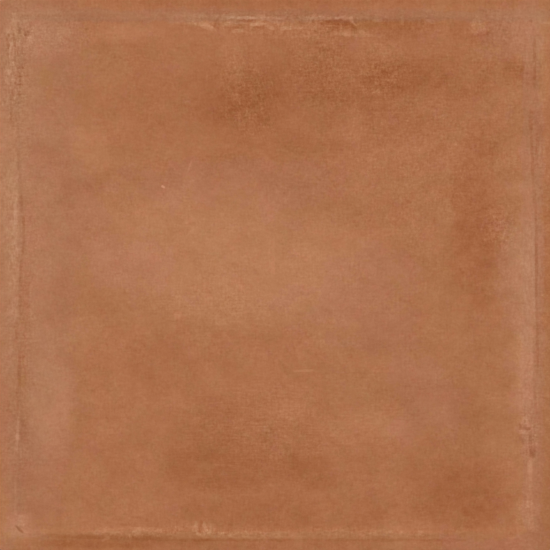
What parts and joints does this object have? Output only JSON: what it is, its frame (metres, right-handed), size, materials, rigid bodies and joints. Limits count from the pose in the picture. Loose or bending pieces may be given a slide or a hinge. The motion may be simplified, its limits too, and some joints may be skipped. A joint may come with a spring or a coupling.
{
  "type": "floor tile",
  "caption": "Square unglazed terracotta floor tile with a worn, pillowed walking face, upright joint faces and a keyed underside for the bedding mortar.",
  "frame": {"origin": "middle of the underside, on the plane that the tile beds on", "axes": "+Z out of the walking face, X and Y along the sides, with +Y towards the top of the picture"},
  "size_m": [0.3, 0.3, 0.012],
  "materials": {
    "terracotta": "unglazed, matt, worn and slightly stained"
  },
  "bodies": {
    "root": {"terracotta_tile": "terracotta"}
  },
  "joints": []
}
